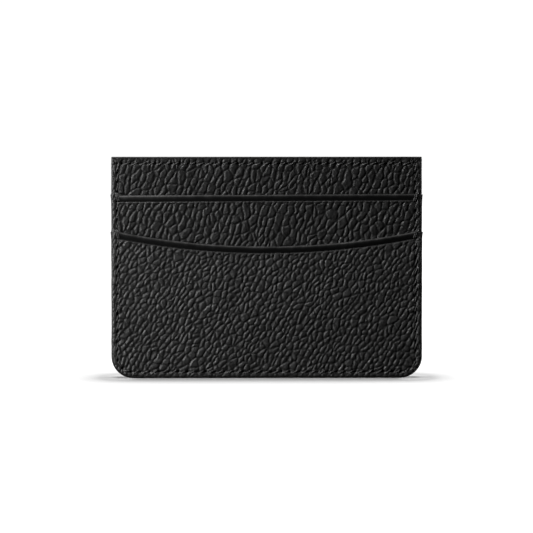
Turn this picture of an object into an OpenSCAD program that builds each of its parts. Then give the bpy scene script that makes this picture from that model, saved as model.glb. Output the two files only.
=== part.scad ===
// Slim leather card holder: two card pockets on the front, two on the back and
// one open compartment in the middle. It stands upright on its lower edge.
// X runs along the mouths, Y through the thickness (front face towards -Y),
// Z up. The origin is the middle of the lower edge.

/* [Body] */
// Overall width
body_w = 100; // [96:0.5:120]
// Overall height
body_h = 71; // [68:0.1:90]
// Radius of the two lower corners
corner_r = 7; // [5:0.5:12]

/* [Layers] */
// Clear room for one card in every pocket
card_room = 0.86; // [0.84:0.02:1.2]
// Clear room in the middle compartment
middle_room = 0.86; // [0.84:0.02:2]
// Thickness of the two body panels
body_leather = 0.55; // [0.5:0.05:1.2]
// Thickness of the four pocket panels
pocket_leather = 0.5; // [0.45:0.05:1]
// Thickness of the lining cloth
lining_t = 0.1; // [0.08:0.01:0.2]

/* [Pockets] */
// Height of the straight mouth of the upper pocket
upper_mouth_z = 58.9; // [56:0.1:62]
// Height of the lower pocket at the side seams
ear_z = 47.1; // [44:0.1:50]
// Height of the lower pocket's mouth just inside the side seams
lower_end_z = 47.1; // [44:0.1:49]
// How far the lower pocket's mouth dips in the middle
mouth_dip = 4.8; // [2:0.1:9]
// Height at which a card stops in the upper pocket
upper_floor_z = 12.5; // [6:0.5:16]
// Width of the smooth creased band along each mouth
band_h = 2; // [1:0.1:2.5]

/* [Seams] */
// Distance of the stitching from the outer edge
seam_inset = 2; // [1.8:0.1:2.6]
// Stitch length around the sides and the bottom
seam_pitch = 3; // [2.4:0.1:4]
// Stitch length along the top edge
top_pitch = 2.65; // [2.2:0.05:4]
// Distance of the top stitching from the top edge
top_seam_inset = 2.1; // [1.8:0.1:3]
// Thread thickness
thread_d = 0.36; // [0.3:0.02:0.5]
// Width of the welt strips between the layers
welt_w = 3.4; // [3:0.1:5]

/* [Edge coat] */
// Thickness of the edge coat around the sides and the bottom
coat_t = 0.3; // [0.2:0.05:0.5]
// Thickness of the edge coat on top edges and mouths
cap_t = 0.2; // [0.15:0.05:0.4]
// Thickness of the coat where it runs onto the creased band
film_t = 0.1; // [0.06:0.02:0.14]

/* [Hidden] */

// Distances of the layer faces from the middle plane, going outwards
d_lining = middle_room / 2;
d_body = d_lining + lining_t;
d_body_out = d_body + body_leather;
d_up_lining = d_body_out + card_room;
d_up = d_up_lining + lining_t;
d_up_out = d_up + pocket_leather;
d_low_lining = d_up_out + card_room;
d_low = d_low_lining + lining_t;
d_low_out = d_low + pocket_leather;

// The free part of each mouth ends at the side stitching
mouth_half = body_w / 2 - seam_inset;
// Radius and centre height of the curved mouth
arc_r = (mouth_half * mouth_half + mouth_dip * mouth_dip) / (2 * mouth_dip);
arc_z = lower_end_z - mouth_dip + arc_r;
// Stitching lies in a shallow groove
groove_w = 0.9;
groove_d = 0.22;
top_seam_z = body_h - top_seam_inset;
// Path of the perimeter seam, from the top left corner round to the top right
seam_x = body_w / 2 - seam_inset;
seam_r = corner_r - seam_inset;
run_side = top_seam_z - corner_r;
run_arc = PI * seam_r / 2;
run_base = 2 * (seam_x - seam_r);
run_all = 2 * run_side + 2 * run_arc + run_base;
seam_n = 2 * floor(run_all / seam_pitch / 2) + 1;
seam_step = run_all / seam_n;

leather = "#1c1c1d";
cloth = "#26262a";
coat = "#0d0d0e";
thread = "#2b2b2d";

// Point and direction of the perimeter seam at length s: [x, z, angle]
function seam_at(s) =
    s < run_side ? [-seam_x, top_seam_z - s, -90] :
    s < run_side + run_arc ?
        let (a = 180 + (s - run_side) / seam_r * 180 / PI)
        [-seam_x + seam_r + seam_r * cos(a), corner_r + seam_r * sin(a), a + 90] :
    s < run_side + run_arc + run_base ?
        [-seam_x + seam_r + (s - run_side - run_arc), seam_inset, 0] :
    s < run_side + 2 * run_arc + run_base ?
        let (a = 270 + (s - run_side - run_arc - run_base) / seam_r * 180 / PI)
        [seam_x - seam_r + seam_r * cos(a), corner_r + seam_r * sin(a), a + 90] :
        [seam_x, corner_r + (s - run_side - 2 * run_arc - run_base), 90];

// Outer face of the layer that the perimeter seam crosses at height z
function face_at(z) = z < ear_z ? d_low_out : z < upper_mouth_z ? d_up_out : d_body_out;

// Turns an X-Z drawing into a plate from distance a to distance b in front of the middle
module plate(a, b) {
    rotate([90, 0, 0]) translate([0, 0, a]) linear_extrude(height = b - a) children();
}

// Outline with rounded lower corners, drawn i inside the outer edge, up to height top
module outline(i, top) {
    w = body_w / 2 - i;
    r = corner_r - i;
    union() {
        translate([-w, corner_r]) square([2 * w, top - corner_r]);
        translate([-w + r, i]) square([2 * (w - r), corner_r - i]);
        for (s = [-1, 1]) translate([s * (w - r), corner_r]) circle(r = r, $fn = 96);
    }
}

// Space above the free part of the curved mouth, moved down by t
module mouth_cut(t) {
    intersection() {
        translate([-mouth_half, lower_end_z - mouth_dip - 6]) square([2 * mouth_half, 40]);
        translate([0, arc_z]) circle(r = arc_r + t, $fn = 360);
    }
}

module pocket_outline(cut) {
    difference() {
        outline(coat_t, ear_z);
        mouth_cut(cut);
    }
}

module upper_outline(cut) {
    difference() {
        outline(coat_t, upper_mouth_z);
        translate([-mouth_half, upper_mouth_z - cut]) square([2 * mouth_half, cut + 1]);
    }
}

// Groove for the stitching on both sides, between two heights
module side_groove(z0, z1, face) {
    for (s = [-1, 1])
        translate([s * seam_x - groove_w / 2, -face - 1, z0])
            cube([groove_w, 1 + groove_d, z1 - z0]);
}

// U-shaped strip between two layers, open at the top
module welt(a, b, top, floor_z) {
    color(leather) plate(a, b) difference() {
        outline(coat_t, top);
        union() {
            translate([-body_w / 2 + welt_w, floor_z + 2])
                square([body_w - 2 * welt_w, top - floor_z]);
            translate([-body_w / 2 + welt_w + 2, floor_z])
                square([body_w - 2 * welt_w - 4, 3]);
            for (s = [-1, 1])
                translate([s * (body_w / 2 - welt_w - 2), floor_z + 2]) circle(r = 2, $fn = 48);
        }
    }
}

module body_panel() {
    color(leather) difference() {
        plate(d_body, d_body_out) outline(coat_t, body_h - cap_t);
        side_groove(upper_mouth_z, top_seam_z + 1, d_body_out - groove_d);
        translate([-seam_x, -d_body_out - 1, top_seam_z - groove_w / 2])
            cube([2 * seam_x, 1 + groove_d, groove_w]);
    }
}

module body_lining() {
    color(cloth) plate(d_lining, d_body) outline(coat_t, body_h - cap_t);
}

module top_edge_coat() {
    color(coat) plate(d_lining, d_body_out)
        translate([-body_w / 2 + coat_t, body_h - cap_t]) square([body_w - 2 * coat_t, cap_t]);
}

module top_stitches() {
    n = floor((2 * seam_x - 3) / top_pitch);
    color(thread) for (i = [0:n - 1])
        translate([(i - (n - 1) / 2) * top_pitch, -d_body_out + groove_d - thread_d / 2, top_seam_z])
            rotate([0, 90, 0]) cylinder(d = thread_d, h = top_pitch * 0.76, center = true, $fn = 24);
}

module upper_pocket() {
    color(leather) difference() {
        plate(d_up, d_up_out) upper_outline(cap_t);
        plate(d_up_out - film_t, d_up_out + 1)
            translate([-mouth_half, upper_mouth_z - band_h]) square([2 * mouth_half, band_h + 1]);
        side_groove(ear_z, upper_mouth_z + 1, d_up_out - groove_d);
    }
}

module upper_pocket_lining() {
    color(cloth) plate(d_up_lining, d_up) upper_outline(cap_t);
}

module upper_mouth_coat() {
    color(coat) union() {
        plate(d_up_lining, d_up_out)
            translate([-mouth_half, upper_mouth_z - cap_t]) square([2 * mouth_half, cap_t]);
        plate(d_up_out - film_t, d_up_out)
            difference() {
                translate([-mouth_half, upper_mouth_z - band_h]) square([2 * mouth_half, band_h]);
                for (s = [-1, 1])
                    translate([s * seam_x - groove_w / 2, upper_mouth_z - band_h - 1])
                        square([groove_w, band_h + 1 - cap_t]);
            }
    }
}

module lower_pocket() {
    color(leather) difference() {
        plate(d_low, d_low_out) pocket_outline(cap_t);
        plate(d_low_out - film_t, d_low_out + 1) mouth_cut(band_h);
        plate(d_low_out - groove_d, d_low_out + 1) difference() {
            outline(seam_inset - groove_w / 2, ear_z + 1);
            outline(seam_inset + groove_w / 2, ear_z + 1);
        }
    }
}

module lower_pocket_lining() {
    color(cloth) plate(d_low_lining, d_low) pocket_outline(cap_t);
}

module lower_mouth_coat() {
    color(coat) union() {
        plate(d_low_lining, d_low_out) difference() {
            mouth_cut(cap_t);
            translate([0, arc_z]) circle(r = arc_r, $fn = 360);
        }
        plate(d_low_out - film_t, d_low_out) difference() {
            mouth_cut(band_h);
            translate([0, arc_z]) circle(r = arc_r, $fn = 360);
            for (s = [-1, 1])
                translate([s * seam_x - groove_w / 2, ear_z - 8]) square([groove_w, 9]);
        }
    }
}

// Doubled thread over the step at each end of a mouth
module tack(top, face, behind) {
    for (s = [-1, 1]) translate([s * seam_x, 0, 0]) union() {
        y = -face + groove_d - thread_d / 2;
        translate([0, y, top - 2.2]) cylinder(d = thread_d, h = 2.2 + thread_d / 2, $fn = 24);
        translate([0, y, top + thread_d / 2]) sphere(d = thread_d, $fn = 24);
        translate([0, y, top + thread_d / 2]) rotate([-90, 0, 0])
            cylinder(d = thread_d, h = -y - behind + groove_d, $fn = 24);
    }
}

module mouth_tacks() {
    color(thread) union() {
        tack(upper_mouth_z, d_up_out, d_body_out);
        tack(ear_z, d_low_out, d_up_out);
    }
}

module side_edge_coat() {
    color(coat) union() {
        for (z = [[ear_z, d_low_out], [upper_mouth_z, d_up_out], [body_h, d_body_out]])
            plate(-z[1], z[1]) difference() {
                outline(0, z[0]);
                outline(coat_t, z[0] + 1);
            }
    }
}

// One stitch per step of the seam, left out where a tack takes its place
module seam_thread() {
    color(thread) for (i = [0:seam_n - 1]) {
        p = seam_at((i + 0.5) * seam_step);
        if (min(abs(p[1] - ear_z + 1.1), abs(p[1] - upper_mouth_z + 1.1)) > 2.3
            && min(abs(p[1] - ear_z), abs(p[1] - upper_mouth_z)) > 1.5)
            translate([p[0], -face_at(p[1]) + groove_d - thread_d / 2, p[1]])
                rotate([0, 90 - p[2], 0])
                    cylinder(d = thread_d, h = seam_step * 0.72, center = true, $fn = 24);
    }
}

module back() {
    mirror([0, 1, 0]) children();
}

body_panel();  // front_body_panel
body_lining();  // front_body_lining
top_edge_coat();  // front_top_edge_coat
top_stitches();  // front_top_stitches
welt(d_body_out, d_up_lining, upper_mouth_z, upper_floor_z);  // front_upper_welt
upper_pocket_lining();  // front_upper_pocket_lining
upper_pocket();  // front_upper_pocket
upper_mouth_coat();  // front_upper_mouth_coat
welt(d_up_out, d_low_lining, ear_z, welt_w);  // front_lower_welt
lower_pocket_lining();  // front_lower_pocket_lining
lower_pocket();  // front_lower_pocket
lower_mouth_coat();  // front_lower_mouth_coat
mouth_tacks();  // front_mouth_tacks
back() body_panel();  // back_body_panel
back() body_lining();  // back_body_lining
back() top_edge_coat();  // back_top_edge_coat
back() top_stitches();  // back_top_stitches
back() welt(d_body_out, d_up_lining, upper_mouth_z, upper_floor_z);  // back_upper_welt
back() upper_pocket_lining();  // back_upper_pocket_lining
back() upper_pocket();  // back_upper_pocket
back() upper_mouth_coat();  // back_upper_mouth_coat
back() welt(d_up_out, d_low_lining, ear_z, welt_w);  // back_lower_welt
back() lower_pocket_lining();  // back_lower_pocket_lining
back() lower_pocket();  // back_lower_pocket
back() lower_mouth_coat();  // back_lower_mouth_coat
back() mouth_tacks();  // back_mouth_tacks
welt(-d_lining, d_lining, body_h - cap_t, welt_w);  // middle_welt
side_edge_coat();
seam_thread();  // front_seam_thread
back() seam_thread();  // back_seam_thread
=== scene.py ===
import math
import bpy
import numpy as np
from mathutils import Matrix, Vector


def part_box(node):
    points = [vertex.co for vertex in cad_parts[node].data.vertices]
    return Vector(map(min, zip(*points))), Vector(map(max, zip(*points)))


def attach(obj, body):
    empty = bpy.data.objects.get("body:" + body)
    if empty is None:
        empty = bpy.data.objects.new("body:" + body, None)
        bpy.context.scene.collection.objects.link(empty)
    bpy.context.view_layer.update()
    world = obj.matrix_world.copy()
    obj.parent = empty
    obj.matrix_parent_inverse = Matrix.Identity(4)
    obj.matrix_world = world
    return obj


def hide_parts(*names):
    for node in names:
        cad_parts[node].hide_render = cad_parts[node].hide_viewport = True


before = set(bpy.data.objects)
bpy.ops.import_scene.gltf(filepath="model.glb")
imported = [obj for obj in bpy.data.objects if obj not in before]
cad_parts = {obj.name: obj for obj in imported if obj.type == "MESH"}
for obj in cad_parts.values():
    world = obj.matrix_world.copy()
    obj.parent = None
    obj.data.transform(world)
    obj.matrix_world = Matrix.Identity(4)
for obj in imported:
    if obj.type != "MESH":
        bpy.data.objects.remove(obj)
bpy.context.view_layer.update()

# ---------------------------------------------------------------- frame sizes
# Everything below is worked out in millimetres; t is the distance from the
# middle plane, going outwards, and turns into -Y in front and +Y behind.


def mm(node, corner, axis):
    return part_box(node)[corner][axis] * 1000


HALF = mm("side_edge_coat", 1, 0)
TOP = mm("side_edge_coat", 1, 2)
R = 7.0
T_LIN = -mm("front_body_lining", 1, 1)
T_BODY_IN = -mm("front_body_panel", 1, 1)
T_BODY = -mm("front_body_panel", 0, 1)
T_UP_LIN = -mm("front_upper_pocket_lining", 1, 1)
T_UP_IN = -mm("front_upper_pocket", 1, 1)
T_UP = -mm("front_upper_mouth_coat", 0, 1)
T_LOW_LIN = -mm("front_lower_pocket_lining", 1, 1)
T_LOW_IN = -mm("front_lower_pocket", 1, 1)
T_LOW = -mm("front_lower_pocket", 0, 1)
MOUTH_UP = mm("front_upper_mouth_coat", 1, 2)
EAR = mm("front_lower_pocket", 1, 2)
MOUTH_END = mm("front_lower_mouth_coat", 1, 2)
BAND = MOUTH_UP - mm("front_upper_mouth_coat", 0, 2)
MOUTH_LOW = mm("front_lower_mouth_coat", 0, 2) + BAND
SEAM_IN = 2.0
SEAM_X = HALF - SEAM_IN
TOP_SEAM = mm("front_top_stitches", 0, 2) / 2 + mm("front_top_stitches", 1, 2) / 2
DIP = MOUTH_END - MOUTH_LOW
ARC_R = (SEAM_X ** 2 + DIP ** 2) / (2 * DIP)
COAT = 0.3
UP_FLOOR = 12.5
WELT_W = 3.4

RUN_SIDE = TOP_SEAM - R
SEAM_R = R - SEAM_IN
RUN_ARC = math.pi * SEAM_R / 2
RUN_BASE = 2 * (SEAM_X - SEAM_R)
RUN = 2 * RUN_SIDE + 2 * RUN_ARC + RUN_BASE
SEAM_N = 2 * int(RUN / 3.0 / 2) + 1
STEP = RUN / SEAM_N
TOP_PITCH = 2.65
TOP_N = int((2 * SEAM_X - 3) / TOP_PITCH)


def smooth(a, b, x):
    t = np.clip((x - a) / (b - a), 0, 1)
    return t * t * (3 - 2 * t)


# ---------------------------------------------------------------- noise
def wavy(x, z, size, seed, n=97):
    """Smooth value noise from -1 to 1 with lumps about size across."""
    g = np.random.default_rng(seed).random((n, n))
    u, v = x / size + 500.0, z / size + 500.0
    i, j = np.floor(u).astype(int), np.floor(v).astype(int)
    fu, fv = u - i, v - j
    su, sv = fu * fu * fu * (fu * (fu * 6 - 15) + 10), fv * fv * fv * (fv * (fv * 6 - 15) + 10)
    a, b = g[i % n, j % n], g[(i + 1) % n, j % n]
    c, d = g[i % n, (j + 1) % n], g[(i + 1) % n, (j + 1) % n]
    return ((a * (1 - su) + b * su) * (1 - sv) + (c * (1 - su) + d * su) * sv) * 2 - 1


def cells(x, z, short, long, angle, seed, drop=0.10, jitter=0.37):
    """Irregular pebbles: distance to the nearest crease in mm, the pebble's own
    random numbers, and the place within the pebble."""
    n = 211
    rng = np.random.default_rng(seed)
    jx, jz = rng.random((n, n)) - 0.5, rng.random((n, n)) - 0.5
    keep = rng.random((n, n)) >= drop
    own = rng.random((3, n, n))
    c, s = math.cos(math.radians(angle)), math.sin(math.radians(angle))
    p, q = (x * s - z * c) / short + 300, (x * c + z * s) / long + 300
    i0, j0 = np.floor(p).astype(int), np.floor(q).astype(int)
    best = np.full(x.shape, 1e9)
    bx, bz = np.zeros_like(x), np.zeros_like(x)
    bi, bj = np.zeros_like(i0), np.zeros_like(i0)
    near = []
    for di in (-2, -1, 0, 1, 2):
        for dj in (-2, -1, 0, 1, 2):
            ii, jj = i0 + di, j0 + dj
            ti, tj = ii % n, jj % n
            sx = ii + 0.5 + jx[ti, tj] * 2 * jitter
            sz = jj + 0.5 + jz[ti, tj] * 2 * jitter
            alive = keep[ti, tj]
            d = np.where(alive, (p - sx) ** 2 + (q - sz) ** 2, 1e6)
            near.append((sx, sz, alive))
            up = d < best
            best = np.where(up, d, best)
            bx, bz = np.where(up, sx, bx), np.where(up, sz, bz)
            bi, bj = np.where(up, ti, bi), np.where(up, tj, bj)
    total = np.zeros_like(x)
    k = 8.5
    for sx, sz, alive in near:
        nx, nz = sx - bx, sz - bz
        length = np.hypot(nx, nz)
        ok = alive & (length > 1e-6)
        length = np.where(ok, length, 1)
        nx, nz = nx / length, nz / length
        d = ((sx + bx) / 2 - p) * nx + ((sz + bz) / 2 - q) * nz
        grow = np.hypot(nx / short, nz / long)
        total += np.where(ok, np.exp(-k * np.clip(d / grow, -0.2, 6)), 0)
    d = np.maximum(-np.log(total + 1e-30) / k, 0)
    lx, lz = (p - bx) * short, (q - bz) * long
    return d, own[:, bi, bj], lx, lz


# ---------------------------------------------------------------- outline
def edge_distance(x, z):
    """How far a point lies inside the outer edge, the top left out."""
    ax = np.abs(x)
    corner = (z < R) & (ax > HALF - R)
    return np.where(corner, R - np.hypot(ax - (HALF - R), z - R), np.minimum(HALF - ax, z))


def seam_run(x, z):
    """Length along the perimeter seam of the seam point beside (x, z)."""
    ax = np.abs(x)
    corner = (z < R) & (ax > HALF - R)
    a = np.arctan2(R - z, np.maximum(ax - (HALF - R), 1e-6)) * SEAM_R
    left, right = x < 0, x >= 0
    side = z >= R
    s = RUN_SIDE + RUN_ARC + (x + SEAM_X - SEAM_R)
    s = np.where(corner & left, RUN_SIDE + a, s)
    s = np.where(corner & right, RUN_SIDE + RUN_ARC + RUN_BASE + RUN_ARC - a, s)
    s = np.where(side & left, TOP_SEAM - z, s)
    s = np.where(side & right, RUN_SIDE + 2 * RUN_ARC + RUN_BASE + z - R, s)
    return s


def seam_at(s):
    """Point and direction of the perimeter seam at length s."""
    if s < RUN_SIDE:
        return -SEAM_X, TOP_SEAM - s, 0.0, -1.0
    s -= RUN_SIDE
    if s < RUN_ARC:
        a = math.pi + s / SEAM_R
        return -SEAM_X + SEAM_R + SEAM_R * math.cos(a), R + SEAM_R * math.sin(a), -math.sin(a), math.cos(a)
    s -= RUN_ARC
    if s < RUN_BASE:
        return -SEAM_X + SEAM_R + s, SEAM_IN, 1.0, 0.0
    s -= RUN_BASE
    if s < RUN_ARC:
        a = 1.5 * math.pi + s / SEAM_R
        return SEAM_X - SEAM_R + SEAM_R * math.cos(a), R + SEAM_R * math.sin(a), -math.sin(a), math.cos(a)
    s -= RUN_ARC
    return SEAM_X, R + s, 0.0, 1.0


def lean(s):
    """Slant of the stitch at length s, in degrees: they all lean like a /."""
    flat = smooth(RUN_SIDE - 2, RUN_SIDE + RUN_ARC, s) * (1 - smooth(RUN - RUN_SIDE - RUN_ARC, RUN - RUN_SIDE + 2, s))
    return -17 * (1 - flat) + 30 * flat


def low_mouth(x):
    """Height of the lower pocket's mouth, with the ear at each end."""
    ax = np.minimum(np.abs(x), SEAM_X)
    z = MOUTH_LOW + ARC_R - np.sqrt(ARC_R ** 2 - ax ** 2)
    return z + (EAR - 0.25 - MOUTH_END) * smooth(SEAM_X - 0.5, SEAM_X + 0.9, np.abs(x))


def up_mouth(x):
    """Height of the upper pocket's mouth: it climbs a little to the right."""
    return MOUTH_UP + 0.005 * x * (1 - smooth(SEAM_X - 0.6, SEAM_X + 0.4, np.abs(x)))


def ear_push(z, top):
    """The layers spread a little where a pocket ends at the edge."""
    return np.where(z <= top + 0.01, 0.24 * np.exp(-np.maximum(top - z, 0) / 1.5), 0)


# ---------------------------------------------------------------- mesh helpers
class Mesh:
    """Collects closed parts of one piece, in mm, each turned the right way out."""

    def __init__(self):
        self.points, self.faces, self.relief, self.uv, self.n = [], [], [], [], 0

    def add(self, points, quads, others=(), relief=None, uv=None):
        points = np.asarray(points, float)
        quads = np.asarray(quads, int).reshape(-1, 4)
        centre = points.mean(0)
        v = points - centre
        a, b, c, d = (v[quads[:, i]] for i in range(4))
        volume = (np.einsum("ij,ij->i", a, np.cross(b, c)) + np.einsum("ij,ij->i", a, np.cross(c, d))).sum()
        for f in others:
            p = v[list(f)]
            volume += np.einsum("ij,ij->i", np.broadcast_to(p[0], p[1:-1].shape), np.cross(p[1:-1], p[2:])).sum()
        faces = quads.tolist() + [list(f) for f in others]
        if uv is not None:
            uv = list(uv)
        if volume < 0:
            faces = [f[::-1] for f in faces]
            if uv is not None:
                uv = [u[::-1] for u in uv]
        self.faces += [[i + self.n for i in f] for f in faces]
        self.points.append(points)
        self.relief.append(np.ones(len(points)) if relief is None else relief)
        if uv is not None:
            self.uv += uv
        self.n += len(points)

    def piece(self, name, material, slot, nodes, sharp=40, side=1):
        """Turns (x, t, z) into the frame, front for side 1 and back for side -1."""
        p = np.concatenate(self.points)
        co = np.column_stack([p[:, 0], -p[:, 1] * side, p[:, 2]]) * 0.001
        # (x, t, z) with y = -t mirrors once, so the front turns its faces over
        faces = self.faces if side < 0 else [f[::-1] for f in self.faces]
        me = bpy.data.meshes.new(name + "_detail")
        me.from_pydata(co.tolist(), [], faces)
        me.polygons.foreach_set("use_smooth", np.ones(len(faces), bool))
        me.set_sharp_from_angle(angle=math.radians(sharp))
        at = me.attributes.new("relief", "FLOAT", "POINT")
        at.data.foreach_set("value", np.concatenate(self.relief).astype(np.float32))
        if self.uv:
            uvs = self.uv if side < 0 else [u[::-1] for u in self.uv]
            layer = me.uv_layers.new(name="OFBake")
            layer.data.foreach_set("uv", np.concatenate([np.asarray(u, np.float32).ravel() for u in uvs]))
        me.materials.append(material)
        me.update()
        o = bpy.data.objects.new(name + "_detail", me)
        bpy.context.scene.collection.objects.link(o)
        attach(o, "root")
        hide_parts(*nodes)
        return o


def grid_quads(rows, cols, wrap=False):
    """Faces of a rows x cols grid of points; wrap joins the last column to the first."""
    i = np.arange(rows - 1)[:, None]
    j = np.arange(cols if wrap else cols - 1)[None, :]
    k = (j + 1) % cols
    return np.stack([i * cols + j, (i + 1) * cols + j, (i + 1) * cols + k, i * cols + k], -1).reshape(-1, 4)


def loft(mesh, rings, relief=None):
    """Closed tube through rings, an array of (rings, points, 3), with flat ends."""
    m, n = rings.shape[:2]
    ends = [list(range(n)), list(range((m - 1) * n, m * n))[::-1]]
    mesh.add(rings.reshape(-1, 3), grid_quads(m, n, True), ends,
             None if relief is None else np.broadcast_to(relief, (m, n)).ravel())


def spread(length, density):
    """Parameters from 0 to 1 with spacing density(position) along length."""
    s = np.linspace(0, length, 4000)
    need = np.concatenate([[0], np.cumsum((1 / density((s[1:] + s[:-1]) / 2)) * np.diff(s))])
    n = int(math.ceil(need[-1]))
    return np.interp(np.linspace(0, need[-1], n + 1), need, s) / length


def along(points, f):
    """Points at length fractions f of a polyline."""
    d = np.concatenate([[0], np.cumsum(np.hypot(*np.diff(points, axis=0).T))])
    return np.column_stack([np.interp(f * d[-1], d, points[:, k]) for k in (0, 1)])


# ---------------------------------------------------------------- leather panels
def leather_height(x, z, kind, seed):
    """Natural pebbled grain: height below the pebble tops, 0 and down, and how far
    out of the crease a point is, from 0 to 1."""
    short, long, angle, deep, wide = {
        "broad": (1.90, 3.20, 69, 0.330, 0.80),
        "small": (1.54, 2.38, 58, 0.330, 0.72),
    }[kind]
    wx = x + 0.50 * wavy(x, z, 4.7, seed + 1) + 0.26 * wavy(x, z, 1.25, seed + 2) + 0.07 * wavy(x, z, 0.6, seed + 12)
    wz = z + 0.60 * wavy(x, z, 5.3, seed + 3) + 0.28 * wavy(x, z, 1.45, seed + 4) + 0.07 * wavy(x, z, 0.7, seed + 13)
    d, own, lx, lz = cells(wx, wz, short, long, angle, seed)
    width = wide * (0.8 + 0.5 * own[1])
    dome = 1 - (1 - np.clip(d / width, 0, 1)) ** 2.5
    # second, finer set of creases that only runs across part of the hide
    d2, own2, _, _ = cells(wx + 0.2 * wavy(x, z, 0.8, seed + 5), wz, short * 0.46, long * 0.42, angle - 24, seed + 6, 0.2)
    fine = 1 - (1 - np.clip(d2 / 0.30, 0, 1)) ** 2
    part = smooth(-0.15, 0.55, wavy(x, z, 2.9, seed + 7)) * dome
    h = deep * (dome - 1)
    h += (own[0] - 0.65) * 0.045 * dome
    h += ((own[2] - 0.5) * 0.055 * lx + (own[1] - 0.5) * 0.03 * lz) * dome
    h += 0.075 * (fine - 1) * part
    h += 0.050 * wavy(x, z, 0.52, seed + 8) * (0.3 + 0.7 * dome) + 0.034 * wavy(x, z, 1.05, seed + 10) + 0.040 * wavy(x, z, 6.0, seed + 9)
    return h, dome * (1 - 0.35 * (1 - fine) * part)


def seam_shape(across, run, pitch, slant):
    """Depth of the leather round a row of stitches: a pulled-in valley, a narrow
    groove and a slanting hole at both ends of every stitch."""
    valley = 0.11 * np.exp(-np.abs(across) / 0.85)
    groove = 0.10 * np.exp(-(across / 0.33) ** 2)
    phase = (run / pitch + 0.5) % 1 - 0.5
    u = phase * pitch
    sl = np.radians(slant)
    a, b = u * np.cos(sl) + across * np.sin(sl), -u * np.sin(sl) + across * np.cos(sl)
    hole = 0.34 * np.exp(-((a / 0.38) ** 2 + (b / 0.28) ** 2))
    bulge = 0.05 * (1 - np.cos(2 * np.pi * phase)) / 2 * np.exp(-((np.abs(across) - 0.7) / 0.45) ** 2)
    return valley + groove + hole - bulge, np.exp(-((a / 0.42) ** 2 + (b / 0.33) ** 2))


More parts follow.
